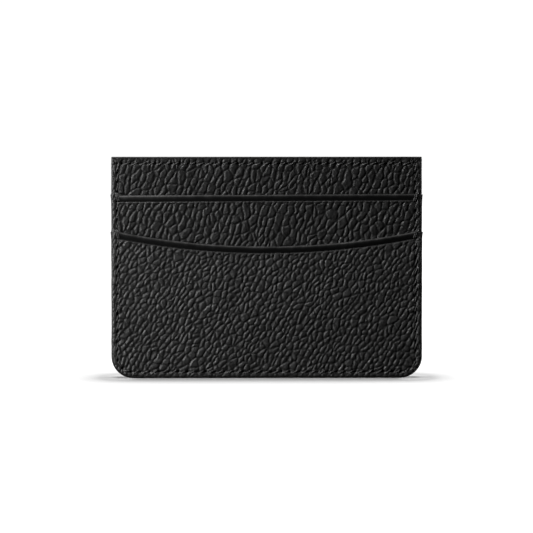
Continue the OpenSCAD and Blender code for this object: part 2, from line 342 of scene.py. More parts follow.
def leather_panel(name, kind, t_in, t_out, top, top_seam, hidden, seed, side, band=None, cell=0.235, push=None, lip_out=(0.075, 1.0, -0.07, 0.0)):
    """A leather panel with its grain, seams and edges as geometry.
    top(x) is the height of its upper edge; hidden is the height below which
    another panel covers it; band is the width of the creased strip at a mouth."""
    w = HALF - COAT
    r = R - COAT
    a = np.linspace(0, math.pi / 4, 40)
    arc = np.column_stack([-w + r - r * np.cos(a), R - r * np.sin(a)])  # side to 45 degrees
    left = np.vstack([arc[::-1], [[-w, float(top(np.array([-w]))[0])]]])
    b = np.linspace(math.pi / 4, math.pi / 2, 40)
    low = np.column_stack([-w + r - r * np.cos(b), R - r * np.sin(b)])
    base = np.vstack([low, (low * [-1, 1])[::-1]])
    fine, coarse = cell, 1.3
    near = 0.72 * cell

    def across(s):
        return np.where(np.minimum(s, 2 * w - s) < 3.0, near, fine)

    height = left[-1, 1] - left[0, 1]

    def upward(s):
        z = s + 1.2
        d = np.where(z < hidden, coarse, fine)
        if hidden <= 0:
            d = np.where(z < 3.6, near, d)
        if top_seam:
            d = np.where(np.abs(z - TOP_SEAM) < 1.1, near, d)
        if band:
            d = np.where(z > height - 2.2, near, d)
        return d

    U, V = spread(2 * w, across), spread(height, upward)
    xt = -w + 2 * w * U
    T = np.column_stack([xt, top(xt)])
    B = along(base, U)
    L = along(left, V)
    Rt = L * [-1, 1]
    u, v = U[:, None, None], V[None, :, None]
    P = ((1 - v) * B[:, None] + v * T[:, None] + (1 - u) * L[None] + u * Rt[None]
         - ((1 - u) * (1 - v) * B[0] + u * (1 - v) * B[-1] + (1 - u) * v * T[0] + u * v * T[-1]))
    x, z = P[..., 0], P[..., 1]
    nu, nv = x.shape
    de = edge_distance(x, z)
    h, relief = leather_height(x, z, kind, seed)
    # the grain is pressed flatter outside the stitching
    outside = 1 - smooth(1.4, 2.3, de)
    h2, relief2 = leather_height(x, z, "small", seed + 40)
    h = h * (1 - outside) + (0.62 * h2 - 0.01) * outside
    relief = relief * (1 - outside) + (0.45 + 0.65 * relief2) * outside
    if hidden > 0:
        show = smooth(hidden - 0.8, hidden + 0.4, z)
        h = h * show - 0.05 * (1 - show)
    run = seam_run(x, z)
    seam, hole = seam_shape(de - SEAM_IN, run, STEP, lean(run))
    # leather gathered into short upright folds along the lower seam
    inside = np.clip(de - SEAM_IN, 0, None)
    folds = 0.045 * np.exp(-inside / 1.1) * (inside > 0) * np.cos(2 * np.pi * run / STEP)
    drop = seam + folds
    if top_seam:
        s2, hole2 = seam_shape(TOP_SEAM - z, x + TOP_N * TOP_PITCH / 2, TOP_PITCH, np.full_like(x, 22.0))
        gone = smooth(SEAM_X + 0.4, SEAM_X - 0.8, np.abs(x))
        drop = np.where(z > TOP_SEAM - 0.2, drop * smooth(TOP_SEAM + 1.3, TOP_SEAM - 0.1, z), drop)
        drop = np.maximum(drop, s2 * gone)
        hole = np.maximum(hole, hole2 * gone)
        lip = top(x) - z
        # rounded towards the top edge, where a painted highlight lightens the colour
        drop = drop + 0.26 * np.exp(-np.maximum(lip, 0) / 0.58)
        relief = relief + 0.35 * np.exp(-np.maximum(lip, 0) / 0.70)
        h = h * (0.35 + 0.65 * smooth(0.3, 1.2, lip))
        drop = drop + 0.04 * (1 - smooth(0.0, 0.34, lip)) ** 2
    if band:
        below = (top(x) - z) * np.cos(np.arctan(np.gradient(top(xt), xt)))[:, None] * 1.0
        mid = 1 - smooth(SEAM_X - 0.15, SEAM_X + 0.2, np.abs(x))
        in_band = (1 - smooth(band + 0.02 + lip_out[2], band + 0.44 + lip_out[2], below)) * mid
        settle = 0.35 + 0.65 * smooth(band + 0.1, band + 0.9, below)
        h = h * (1 - mid + mid * settle)
        h = h * (1 - in_band) - 0.42 * in_band
        # rounded lip where the creased strip ends; a painted highlight lightens the lip and, where set, painted shade
        # darkens the leather just under the strip
        lip = np.exp(-((below - band - 0.42 - lip_out[2]) / 0.20) ** 2) * mid
        h = h + lip_out[0] * lip
        relief = np.maximum(relief, lip * lip_out[1])
        relief = relief * (1 - lip_out[3] * mid * np.exp(-((below - band - 0.22) / 0.24) ** 2))
        drop = drop * (1 - in_band)
        # upper edge of the ears
        ear = 1 - mid
        drop = drop + ear * 0.16 * (1 - smooth(0, 0.40, below)) ** 2
    # turned down under the edge coat
    drop = drop + 0.26 * (1 - smooth(COAT, COAT + 0.50, de)) ** 1.3
    # painted shade darkens the colour in the stitch holes
    relief = relief * (1 - 0.75 * hole)
    t = t_out + h - drop
    if push is not None:
        x = x + np.sign(x) * push(z) * smooth(6, 0, de)
    mesh = Mesh()
    front = np.stack([x, t, z], -1).reshape(-1, 3)
    ring = np.concatenate([np.arange(nu) * nv, (nu - 1) * nv + np.arange(1, nv),
                           np.arange(nu - 2, -1, -1) * nv + nv - 1, np.arange(nv - 2, 0, -1)])
    back = front[ring].copy()
    back[:, 1] = t_in
    n0, m = len(front), len(ring)
    k = np.arange(m)
    walls = np.stack([ring[k], ring[(k + 1) % m], n0 + (k + 1) % m, n0 + k], -1)
    quads = grid_quads(nu, nv)
    q = np.vstack([quads, walls[:, ::-1]])
    lid = list(range(n0, n0 + m))
    # UV: the grain flat over most of the map, the back small, the rim in strips
    full = 2 * w + 1.5
    tall = TOP + 1.5
    fx, fz = (front[:, 0] + w + 0.6) / full, (front[:, 2] + 0.2) / full
    fuv = np.column_stack([fx, fz])
    buv = np.column_stack([(back[:, 0] + w + 0.6) / full * 0.22, 0.80 + (back[:, 2]) / full * 0.22])
    per = np.concatenate([[0], np.cumsum(np.linalg.norm(np.diff(front[ring][:, [0, 2]], axis=0), axis=1))])
    per = np.append(per, per[-1] + 0.2)
    strip = per / per[-1] * 3.9
    row, col = np.floor(strip[:-1]), strip[:-1] % 1
    wid = (per[1:] - per[:-1]) / per[-1] * 3.9
    u0, v0 = 0.26 + col * 0.70, 0.80 + row * 0.04
    wuv = np.stack([np.column_stack([u0, v0]), np.column_stack([u0 + wid * 0.70, v0]),
                    np.column_stack([u0 + wid * 0.70, v0 + 0.02]), np.column_stack([u0, v0 + 0.02])], 1)
    uv = list(fuv[quads]) + list(wuv[:, ::-1]) + [buv]
    mesh.add(np.vstack([front, back]), q, [lid], np.concatenate([relief.ravel(), np.full(m, 0.6)]), uv)
    # the outer and middle pockets take lighter copies of the leather, painted brighter for the light that falls on
    # them
    skin = "leather" if top_seam else "leather_low_painted_lighter" if hidden <= 0 else "leather_mid_painted_lighter"
    o = mesh.piece(name, MAT[skin], "leather", [name], 50, side)
    return o, (xt, U, V, x, z, t)


# ---------------------------------------------------------------- thread
def strands(mesh, path, out, radius, turns, twist0=0.0, plies=3, sides=7):
    """Twisted thread along path (n, 3), sinking at both ends."""
    d = np.gradient(path, axis=0)
    d /= np.linalg.norm(d, axis=1)[:, None]
    b = np.cross(d, out)
    b /= np.linalg.norm(b, axis=1)[:, None]
    nrm = np.cross(b, d)
    s = np.linspace(0, 1, len(path))
    ply_r, off = radius * 0.56, radius * 0.46
    for k in range(plies):
        phi = twist0 + 2 * math.pi * (k / plies + turns * s)
        c = path + off * (np.cos(phi)[:, None] * nrm + np.sin(phi)[:, None] * b)
        a = np.linspace(0, 2 * math.pi, sides, endpoint=False)
        taper = (0.55 + 0.45 * np.minimum(1, np.minimum(s, 1 - s) * 7))[:, None, None]
        ring = c[:, None] + ply_r * taper * (np.cos(a)[None, :, None] * nrm[:, None] + np.sin(a)[None, :, None] * b[:, None])
        loft(mesh, ring)


def stitch(mesh, x, z, dx, dz, t, length, slant, rng, radius=0.19):
    """One slanting stitch: out of one hole, over the leather and into the next."""
    sl = math.radians(slant + rng.normal(0, 2.5))
    c, s = math.cos(sl), math.sin(sl)
    dx, dz = dx * c - dz * s, dx * s + dz * c
    u = np.linspace(-1, 1, 15)
    ride_ = 0.17 * (1 - np.abs(u) ** 3.2) - 0.20 * np.abs(u) ** 6
    half = length / 2 * (1 + rng.normal(0, 0.03))
    ox, oz = rng.normal(0, 0.03, 2)
    path = np.column_stack([x + ox + dx * u * half, t + ride_ + rng.normal(0, 0.012), z + oz + dz * u * half])
    strands(mesh, path, np.array([0.0, 1.0, 0.0]), radius * (1 + rng.normal(0, 0.04)), 1.25, rng.random() * 6.28)


def smooth_path(points, n):
    """Rounded curve through a few points."""
    p = np.asarray(points, float)
    q = np.vstack([2 * p[0] - p[1], p, 2 * p[-1] - p[-2]])
    out = []
    for i in range(1, len(q) - 2):
        u = np.linspace(0, 1, n, endpoint=False)[:, None]
        a, b, c, d = q[i - 1], q[i], q[i + 1], q[i + 2]
        out.append(0.5 * (2 * b + (c - a) * u + (2 * a - 5 * b + 4 * c - d) * u ** 2 + (3 * b - a - 3 * c + d) * u ** 3))
    return np.vstack(out + [p[-1:]])


# ---------------------------------------------------------------- materials
def nodes_of(name):
    m = bpy.data.materials.new(name)
    m.use_nodes = True
    t = m.node_tree
    t.nodes.clear()
    out = t.nodes.new("ShaderNodeOutputMaterial")
    bsdf = t.nodes.new("ShaderNodeBsdfPrincipled")
    t.links.new(bsdf.outputs[0], out.inputs[0])
    return m, t, bsdf


def add(t, kind, **sets):
    n = t.nodes.new(kind)
    for key, value in sets.items():
        if key in ("operation", "data_type", "blend_type", "feature", "attribute_name", "wave_type",
                   "bands_direction", "interpolation_type", "noise_dimensions", "distance", "use_clamp"):
            setattr(n, key, value)
        else:
            n.inputs[key.replace("_", " ")].default_value = value
    return n


def math_node(t, op, a, b=None, c=None, clamp=False):
    n = t.nodes.new("ShaderNodeMath")
    n.operation = op
    n.use_clamp = clamp
    for i, v in enumerate((a, b, c)):
        if v is None:
            continue
        if isinstance(v, (int, float)):
            n.inputs[i].default_value = v
        else:
            t.links.new(v, n.inputs[i])
    return n.outputs[0]


def noise_of(t, coord, scale, detail=3.0, rough=0.55):
    n = t.nodes.new("ShaderNodeTexNoise")
    n.inputs["Scale"].default_value = scale
    n.inputs["Detail"].default_value = detail
    n.inputs["Roughness"].default_value = rough
    t.links.new(coord, n.inputs["Vector"])
    return n.outputs[0]


def ramp_of(t, value, stops):
    n = t.nodes.new("ShaderNodeValToRGB")
    n.color_ramp.elements[0].position, n.color_ramp.elements[0].color = stops[0][0], (*stops[0][1], 1)
    n.color_ramp.elements[1].position, n.color_ramp.elements[1].color = stops[-1][0], (*stops[-1][1], 1)
    for pos, col in stops[1:-1]:
        e = n.color_ramp.elements.new(pos)
        e.color = (*col, 1)
    t.links.new(value, n.inputs[0])
    return n.outputs[0]


def range_of(t, value, a, b, c, d):
    n = t.nodes.new("ShaderNodeMapRange")
    for k, v in zip(("From Min", "From Max", "To Min", "To Max"), (a, b, c, d)):
        n.inputs[k].default_value = v
    t.links.new(value, n.inputs["Value"])
    return n.outputs[0]


def bump_of(t, height, distance, strength, normal=None):
    n = t.nodes.new("ShaderNodeBump")
    n.inputs["Distance"].default_value = distance
    n.inputs["Strength"].default_value = strength
    t.links.new(height, n.inputs["Height"])
    if normal is not None:
        t.links.new(normal, n.inputs["Normal"])
    return n.outputs[0]


def coords(t):
    return t.nodes.new("ShaderNodeTexCoord").outputs["Object"]


def grey(v, warm=0.0):
    return (v * (1 + warm), v, v * (1 - warm))


def leather_material(name, dark=0.0005, mid=0.0040, light=0.0145, spec=0.40):
    """Drum-dyed pebbled calf leather with fine pores: painted shade darkens the
    creases, which are also duller, and a painted highlight lightens the pebble tops."""
    m, t, b = nodes_of(name)
    co = coords(t)
    at = t.nodes.new("ShaderNodeAttribute")
    at.attribute_name = "relief"
    relief = at.outputs["Fac"]
    cloudy = noise_of(t, co, 90, 3)
    specks = noise_of(t, co, 1600, 4, 0.65)
    # painted shade and highlight: the relief attribute darkens the colour in the creases and lightens it on the pebble
    # tops
    shade = math_node(t, "MULTIPLY_ADD", cloudy, 0.30, -0.15)
    shade = math_node(t, "ADD", relief, shade)
    shade = math_node(t, "ADD", shade, math_node(t, "MULTIPLY_ADD", specks, 0.30, -0.15), clamp=True)
    colour = ramp_of(t, shade, [(0.0, grey(dark)), (0.45, grey(mid, 0.02)), (0.85, grey(light, 0.01)), (1.0, grey(light * 1.22, 0.0))])
    t.links.new(colour, b.inputs["Base Color"])
    rough = ramp_of(t, relief, [(0.0, (0.95,) * 3), (0.45, (0.58,) * 3), (0.8, (0.34,) * 3), (1.0, (0.31,) * 3)])
    rough = math_node(t, "ADD", rough, math_node(t, "MULTIPLY_ADD", specks, 0.22, -0.11), clamp=True)
    t.links.new(rough, b.inputs["Roughness"])
    pores = noise_of(t, co, 3800, 3, 0.6)
    v = add(t, "ShaderNodeTexVoronoi", feature="DISTANCE_TO_EDGE", Scale=2100.0)
    t.links.new(co, v.inputs["Vector"])
    lines = range_of(t, v.outputs["Distance"], 0.0, 0.14, 0.0, 1.0)
    height = math_node(t, "MULTIPLY_ADD", lines, 0.35, pores)
    n1 = bump_of(t, height, 0.00005, 0.75)
    n1 = bump_of(t, noise_of(t, co, 1500, 2, 0.6), 0.00016, 0.55, n1)
    t.links.new(n1, b.inputs["Normal"])
    b.inputs["Specular IOR Level"].default_value = spec
    return m


def coat_material(name, base=0.006, rough=0.36, painted_rim_light=None, spec=0.5):
    """Edge paint: a smooth black film, faintly brushed along the edge; the optional
    grey is that of a painted highlight along its rim, and painted shade darkens the film where the relief attribute is
    low."""
    m, t, b = nodes_of(name)
    co = coords(t)
    blot = noise_of(t, co, 420, 4, 0.6)
    fine = noise_of(t, co, 2600, 3, 0.6)
    colour = ramp_of(t, blot, [(0.25, grey(base * 0.7)), (0.75, grey(base * 1.5, 0.01))])
    r = math_node(t, "MULTIPLY_ADD", fine, 0.20, rough - 0.10)
    if painted_rim_light:
        # painted highlight on the rim and painted shade towards the pressed line, both from the relief attribute
        at = t.nodes.new("ShaderNodeAttribute")
        at.attribute_name = "relief"
        painted_light_amount = math_node(t, "ADD", at.outputs["Fac"], math_node(t, "MULTIPLY_ADD", blot, 0.24, -0.12), clamp=True)
        colour = ramp_of(t, painted_light_amount, [(0.0, grey(base * 0.5)), (0.25, grey(base)), (0.55, grey(painted_rim_light * 0.40)), (0.80, grey(painted_rim_light, 0.01)),
                                  (1.0, grey(painted_rim_light * 2.2, 0.01))])
        r = math_node(t, "MULTIPLY_ADD", painted_light_amount, -0.16, math_node(t, "ADD", r, 0.16))
    t.links.new(colour, b.inputs["Base Color"])
    t.links.new(r, b.inputs["Roughness"])
    height = math_node(t, "MULTIPLY_ADD", blot, 0.7, fine)
    t.links.new(bump_of(t, height, 0.00003, 0.5), b.inputs["Normal"])
    b.inputs["Specular IOR Level"].default_value = spec
    return m


def thread_material(name):
    """Waxed black polyester thread: fine fibres along the plies."""
    m, t, b = nodes_of(name)
    co = coords(t)
    fibre = noise_of(t, co, 9000, 3, 0.7)
    wax = noise_of(t, co, 700, 3, 0.5)
    colour = ramp_of(t, fibre, [(0.2, grey(0.016)), (0.8, grey(0.060, 0.01))])
    t.links.new(colour, b.inputs["Base Color"])
    t.links.new(range_of(t, wax, 0.2, 0.8, 0.26, 0.50), b.inputs["Roughness"])
    t.links.new(bump_of(t, fibre, 0.00003, 0.7), b.inputs["Normal"])
    b.inputs["Sheen Weight"].default_value = 0.15
    b.inputs["Sheen Roughness"].default_value = 0.4
    return m


def cloth_material(name):
    """Black twill lining."""
    m, t, b = nodes_of(name)
    co = coords(t)
    sep = t.nodes.new("ShaderNodeSeparateXYZ")
    t.links.new(co, sep.inputs[0])
    x, z = sep.outputs[0], sep.outputs[2]
    diag = math_node(t, "MULTIPLY", math_node(t, "ADD", x, z), 2 * math.pi / 0.00042)
    yarn = math_node(t, "MULTIPLY", math_node(t, "SUBTRACT", z, x), 2 * math.pi / 0.00021)
    rib = math_node(t, "MULTIPLY_ADD", math_node(t, "SINE", diag), 0.5, 0.5)
    cross = math_node(t, "MULTIPLY_ADD", math_node(t, "SINE", yarn), 0.5, 0.5)
    weave = math_node(t, "MULTIPLY_ADD", cross, 0.35, math_node(t, "MULTIPLY", rib, 0.65))
    fuzz = noise_of(t, co, 5200, 3, 0.7)
    v = math_node(t, "MULTIPLY_ADD", fuzz, 0.35, math_node(t, "MULTIPLY", weave, 0.65))
    t.links.new(ramp_of(t, v, [(0.1, grey(0.006)), (0.9, grey(0.026, -0.02))]), b.inputs["Base Color"])
    t.links.new(range_of(t, fuzz, 0.2, 0.8, 0.72, 0.95), b.inputs["Roughness"])
    t.links.new(bump_of(t, v, 0.00006, 0.8), b.inputs["Normal"])
    b.inputs["Sheen Weight"].default_value = 0.30
    b.inputs["Sheen Roughness"].default_value = 0.45
    return m


def welt_material(name):
    """Cut and pressed leather of the seam allowances, fibrous and matt."""
    m, t, b = nodes_of(name)
    co = coords(t)
    fibre = noise_of(t, co, 2400, 5, 0.7)
    blot = noise_of(t, co, 260, 3, 0.5)
    v = math_node(t, "MULTIPLY_ADD", blot, 0.5, math_node(t, "MULTIPLY", fibre, 0.5))
    t.links.new(ramp_of(t, v, [(0.25, grey(0.006)), (0.75, grey(0.024, 0.03))]), b.inputs["Base Color"])
    t.links.new(range_of(t, fibre, 0.2, 0.8, 0.60, 0.90), b.inputs["Roughness"])
    t.links.new(bump_of(t, fibre, 0.00008, 0.8), b.inputs["Normal"])
    b.inputs["Sheen Weight"].default_value = 0.1
    return m


MAT = {
    "leather": leather_material("black_pebbled_leather"),
    # the middle and outer pockets' leather are lighter copies of the same leather, painted brighter where more light
    # falls on them
    "leather_mid_painted_lighter": leather_material("black_pebbled_leather_middle_painted_lighter", 0.0005, 0.0045, 0.0165, 0.43),
    "leather_low_painted_lighter": leather_material("black_pebbled_leather_outer_painted_lighter", 0.0007, 0.0065, 0.0240, 0.5),
    "coat": coat_material("black_edge_paint", 0.009, 0.38),
    # the top edge paint is a lighter copy of the same edge paint, painted brighter for the light along the top edge
    "coat_top_painted_lighter": coat_material("black_edge_paint_top_painted_lighter", 0.018, 0.38),
    # the creased mouth band is a darker copy of the edge paint: painted shade of the strip that leans back under its
    # rim
    "band": coat_material("creased_mouth_band_painted_darker", 0.0020, 0.36, 0.034, 0.25),
    "thread": thread_material("waxed_black_thread"),
    "cloth": cloth_material("black_twill_lining"),
    "welt": welt_material("seam_allowance_leather"),
}


# ---------------------------------------------------------------- pieces
def flat_top(z):
    return lambda x: np.full(np.shape(x), float(z))


def strip_coat(name, side, xs, zs, profile, material="coat", seed=1, ripple=0.012, painted_light_amount=0.0):
    """Sweeps profile, a list of (depth below the edge, distance t), along an edge."""
    prof = np.asarray(profile, float)
    slope = np.gradient(zs, xs)
    nx, nz = -slope / np.hypot(1, slope), 1 / np.hypot(1, slope)
    w, t = prof[:, 0][None], prof[:, 1][None]
    # the strip stays upright at its two ends
    k = np.arange(len(prof))[None] * 0.7
    j = ripple * wavy(xs[:, None] * np.ones_like(w), k * np.ones((len(xs), 1)), 1.9, seed)
    j += ripple * 0.6 * wavy(xs[:, None] * np.ones_like(w), k * np.ones((len(xs), 1)), 0.6, seed + 1)
    px = xs[:, None] - w * nx[:, None] * 0
    pz = zs[:, None] - w / nz[:, None]
    rings = np.stack([px + 0 * t, t + j * (t > t.mean()) + 0 * px, pz + j * (w < 0.15)], -1)
    mesh = Mesh()
    # painted highlight: the rim is coloured lighter, most of all towards the left end where the light falls, and
    # painted shade darkens the strip towards its pressed line
    painted_rim_light = np.interp(prof[:, 0], [0.0, 0.34, 0.60, 0.95, 1.35, 1.90], [0.80, 0.80, 0.52, 0.36, 0.18, 0.0])[None]
    # painted light: the rim is lighter towards the left end and darker towards the right
    painted_rim_light = painted_rim_light + painted_light_amount * (0.26 * smooth(-14, -44, xs) - 0.10 * smooth(0, 40, xs))[:, None] * smooth(2.0, 0.8, prof[:, 0])[None]
    painted_rim_light = painted_rim_light + (0.08 * wavy(xs, 0 * xs, 2.4, seed + 5) + 0.06 * wavy(xs, 0 * xs, 0.9, seed + 6))[:, None]
    loft(mesh, rings, np.clip(painted_rim_light, 0, 1))
    return mesh.piece(name, MAT[material], "edge_coat", [name], 50, side)


def mouth_profile(t_in, t_out, band):
    """Section of the coat at a mouth: a round rim, then the creased strip, which
    leans back towards its pressed lower line."""
    T, r = t_out, 0.40
    rim = [(r * (1 - math.sin(a)) * 1.05, T - r * 0.85 * (1 - math.cos(a))) for a in np.radians([90, 75, 60, 48, 36, 24, 12, 0])]
    return [(0.30, t_in), (0.12, t_in + 0.01), (0.03, t_in + 0.07), (0.0, t_in + 0.15)] + rim + [
        (0.60, T - 0.025), (0.82, T - 0.075), (1.10, T - 0.140), (1.40, T - 0.205), (1.70, T - 0.270),
        (band - 0.10, T - 0.335), (band, T - 0.38), (band - 0.02, T - 0.48), (1.4, T - 0.46), (0.6, T - 0.46), (0.34, T - 0.44),
        (0.30, t_in + 0.12)]


def top_profile(t_in, t_out):
    T = t_out
    return [
        (0.32, t_in), (0.12, t_in + 0.01), (0.03, t_in + 0.05), (0.0, t_in + 0.13), (0.0, T - 0.36),
        (0.025, T - 0.28), (0.08, T - 0.22), (0.17, T - 0.17), (0.28, T - 0.13), (0.38, T - 0.13),
        (0.38, T - 0.22), (0.35, T - 0.26), (0.32, T - 0.31), (0.32, t_in + 0.12)]


def side_coat():
    """Painted edge all round the sides and the bottom, stepped where each pocket
    ends, with the joints between the layers showing as faint lines."""
    mesh = Mesh()
    layers = [0, T_LIN, T_BODY, T_UP_LIN, T_UP, T_LOW_LIN]

    def run(points, normals, T, push, seed):
        # section: front lip, rounded corner, flat with faint lines, mirrored behind
        corner = [(-0.48, -0.27), (-0.465, -0.19), (-0.42, -0.155), (-0.35, -0.175), (-0.27, -0.225), (-0.19, -0.29),
                  (-0.12, -0.37), (-0.06, -0.47), (-0.02, -0.59), (0.0, -0.74)]
        corner = [(n, t) for n, t in corner if T + t > 0.15]
        flat = np.linspace(T - 0.86, -(T - 0.86), max(9, int(2 * (T - 0.86) / 0.11) | 1))
        n_flat = np.zeros_like(flat)
        for y in layers:
            for s in (-1, 1):
                n_flat -= 0.05 * np.exp(-((flat - s * y) / 0.09) ** 2) * (y < T - 0.4)
        prof_n = [n for n, _ in corner] + n_flat.tolist() + [n for n, _ in corner][::-1] + [-0.30, -0.30]
        prof_t = [T + t for _, t in corner] + flat.tolist() + [-(T + t) for _, t in corner][::-1] + [-(T - 0.22), T - 0.22]
        prof_n, prof_t = np.array(prof_n), np.array(prof_t)
        m, k = len(points), len(prof_n)
        s = np.concatenate([[0], np.cumsum(np.hypot(*np.diff(points, axis=0).T))])
        S, K = np.broadcast_to(s[:, None], (m, k)), np.broadcast_to(prof_t[None] * 1.0, (m, k))
        rough = 0.030 * wavy(S, K, 2.7, seed) + 0.016 * wavy(S, K, 0.8, seed + 1)
        outer = (prof_n > -0.29)[None]
        n = prof_n[None] + rough * outer + push[:, None]
        t = K + 0.02 * wavy(S, K * 0 + 3, 2.1, seed + 2) * (np.abs(K) > T - 0.6) * np.sign(K)
        px = points[:, 0][:, None] + n * normals[:, 0][:, None]
        pz = points[:, 1][:, None] + n * normals[:, 1][:, None]
        loft(mesh, np.stack([px, t, pz], -1))

    a = np.linspace(0, math.pi / 2, 34)[1:-1]
    zs = np.linspace(EAR - 0.2, R, 130)
    left = np.column_stack([np.full_like(zs, -HALF), zs])
    arc = np.column_stack([-HALF + R - R * np.cos(a), R - R * np.sin(a)])
    arc_n = np.column_stack([-np.cos(a), -np.sin(a)])
    xs = np.linspace(-HALF + R, HALF - R, 220)
    base = np.column_stack([xs, np.zeros_like(xs)])
    pts = np.vstack([left, arc, base, (arc * [-1, 1])[::-1], (left * [-1, 1])[::-1]])
    nrm = np.vstack([np.tile([-1.0, 0], (len(zs), 1)), arc_n, np.tile([0, -1.0], (len(xs), 1)),
                     (arc_n * [-1, 1])[::-1], np.tile([1.0, 0], (len(zs), 1))])
    push = np.where(pts[:, 1] > R, ear_push(pts[:, 1], EAR), 0)
    run(pts, nrm, T_LOW, push, 11)
    for s in (-1, 1):
        zs = np.linspace(MOUTH_UP, EAR - 1.5, 60)
        pts = np.column_stack([np.full_like(zs, s * HALF), zs])
        run(pts, np.tile([float(s), 0], (len(zs), 1)), T_UP, ear_push(zs, MOUTH_UP) * smooth(EAR - 1, EAR + 1, zs) - 0.02 * smooth(EAR + 0.2, EAR - 0.3, zs), 21 + s)
        zs = np.linspace(TOP + 0.05, MOUTH_UP - 1.5, 60)
        pts = np.column_stack([np.full_like(zs, s * HALF), zs])
        tip = -0.10 * smooth(TOP - 0.25, TOP, zs)
        run(pts, np.tile([float(s), 0], (len(zs), 1)), T_BODY, tip - 0.02 * smooth(MOUTH_UP + 0.2, MOUTH_UP - 0.3, zs), 31 + s)
    return mesh.piece("side_edge_coat", MAT["coat"], "edge_coat", ["side_edge_coat"], 55)


def welt(name, side, t0, t1, top, floor):
    """U-shaped seam allowance between two layers."""
    mesh = Mesh()
    w, r = HALF - COAT, R - COAT
    a = np.linspace(0, math.pi / 2, 26)
    zs = np.concatenate([np.linspace(top - 0.12, floor + 2, 40), np.linspace(floor + 2, R, 12)[1:]]) if floor + 2 > R else \
        np.linspace(top - 0.12, R, 46)
    left = np.column_stack([np.full_like(zs, -w), zs])
    arc = np.column_stack([-w + r - r * np.cos(a), R - r * np.sin(a)])[1:]
    xs = np.linspace(-w + r, w - r, 60)[1:-1]
    outer = np.vstack([left, arc, np.column_stack([xs, np.full_like(xs, COAT)]), (arc * [-1, 1])[::-1], (left * [-1, 1])[::-1]])
    # inner loop, matched to the outer one by length
    wi = HALF - WELT_W
    ri = 2.0
    zi = np.linspace(top - 0.12, floor + ri, 60)
    li = np.column_stack([np.full_like(zi, -wi), zi])
    ai = np.linspace(0, math.pi / 2, 14)[1:]
    arci = np.column_stack([-wi + ri - ri * np.cos(ai), floor + ri - ri * np.sin(ai)])
    mid = np.array([[0.0, floor]])
    half = np.vstack([li, arci, mid])
    inner_line = np.vstack([half, (half * [-1, 1])[::-1][1:]])
    dn = np.concatenate([[0], np.cumsum(np.hypot(*np.diff(outer, axis=0).T))])
    inner = along(inner_line, dn / dn[-1])
    sec = [(0.0, 0.06), (0.02, 0.0), (0.25, 0.0), (0.5, 0.0), (0.75, 0.0), (0.97, 0.0), (1.0, 0.10),
           (1.0, 0.5), (1.0, 0.90), (0.97, 1.0), (0.75, 1.0), (0.5, 1.0), (0.25, 1.0), (0.02, 1.0), (0.0, 0.94), (0.0, 0.5)]
    k = np.array([s[0] for s in sec])[None, :, None]
    t = np.array([s[1] for s in sec])[None] * (t1 - t0) + t0
    p = outer[:, None] * (1 - k) + inner[:, None] * k
    fuzz = 0.05 * wavy(dn[:, None] * np.ones_like(t), t * 3 + k[..., 0] * 9, 1.1, 77)
    p = p + fuzz[..., None] * np.array([0.6, 0.3])
    loft(mesh, np.stack([p[..., 0], t + 0 * p[..., 0], p[..., 1]], -1))
    return mesh.piece(name, MAT["welt"], "welt_leather", [name], 40, side)


def lining(name, side, t0, t1, top):
    """Thin lining glued inside a panel: two faces and a turned rim."""
    w, r = HALF - COAT - 0.05, R - COAT - 0.05
    a = np.linspace(0, math.pi / 4, 12)
    arc = np.column_stack([-w + r - r * np.cos(a), R - r * np.sin(a)])
    left = np.vstack([arc[::-1], [[-w, float(top(np.array([-w]))[0])]]])
    b = np.linspace(math.pi / 4, math.pi / 2, 12)
    low = np.column_stack([-w + r - r * np.cos(b), R - r * np.sin(b)])
    base = np.vstack([low, (low * [-1, 1])[::-1]])
    U, V = np.linspace(0, 1, 121), np.linspace(0, 1, 81)
    xt = -w + 2 * w * U
    T = np.column_stack([xt, top(xt)])
    B, L = along(base, U), along(left, V)
    Rt = L * [-1, 1]
    u, v = U[:, None, None], V[None, :, None]
    P = ((1 - v) * B[:, None] + v * T[:, None] + (1 - u) * L[None] + u * Rt[None]
         - ((1 - u) * (1 - v) * B[0] + u * (1 - v) * B[-1] + (1 - u) * v * T[0] + u * v * T[-1]))
    x, z = P[..., 0], P[..., 1]
    nu, nv = x.shape
    sag = 0.012 * wavy(x, z, 7.0, 5) + 0.006 * wavy(x, z, 2.0, 6)
    f = np.stack([x, t0 + 0.014 + np.abs(sag), z], -1).reshape(-1, 3)
    g = np.stack([x, np.full_like(x, t1), z], -1).reshape(-1, 3)
    ring = np.concatenate([np.arange(nu) * nv, (nu - 1) * nv + np.arange(1, nv),
                           np.arange(nu - 2, -1, -1) * nv + nv - 1, np.arange(nv - 2, 0, -1)])
    n0, m = len(f), len(ring)
    k = np.arange(m)
    walls = np.stack([ring[k], ring[(k + 1) % m], n0 + ring[(k + 1) % m], n0 + ring[k]], -1)
    mesh = Mesh()
    mesh.add(np.vstack([f, g]), np.vstack([grid_quads(nu, nv), walls[:, ::-1], grid_quads(nu, nv)[:, ::-1] + n0]))
    o = mesh.piece(name, MAT["cloth"], "lining_cloth", [name], 50, side)
    xx = np.linspace(-w, w, 2001)
    hh = top(xx) - np.where(np.abs(xx) > w - r, R - np.sqrt(np.maximum(r * r - (np.abs(xx) - (w - r)) ** 2, 0)), R - r)
    high = float(top(np.array([-w]))[0]) - COAT - 0.05
    return o


def layer_face(z):
    return T_LOW if z < EAR else T_UP if z < MOUTH_UP else T_BODY


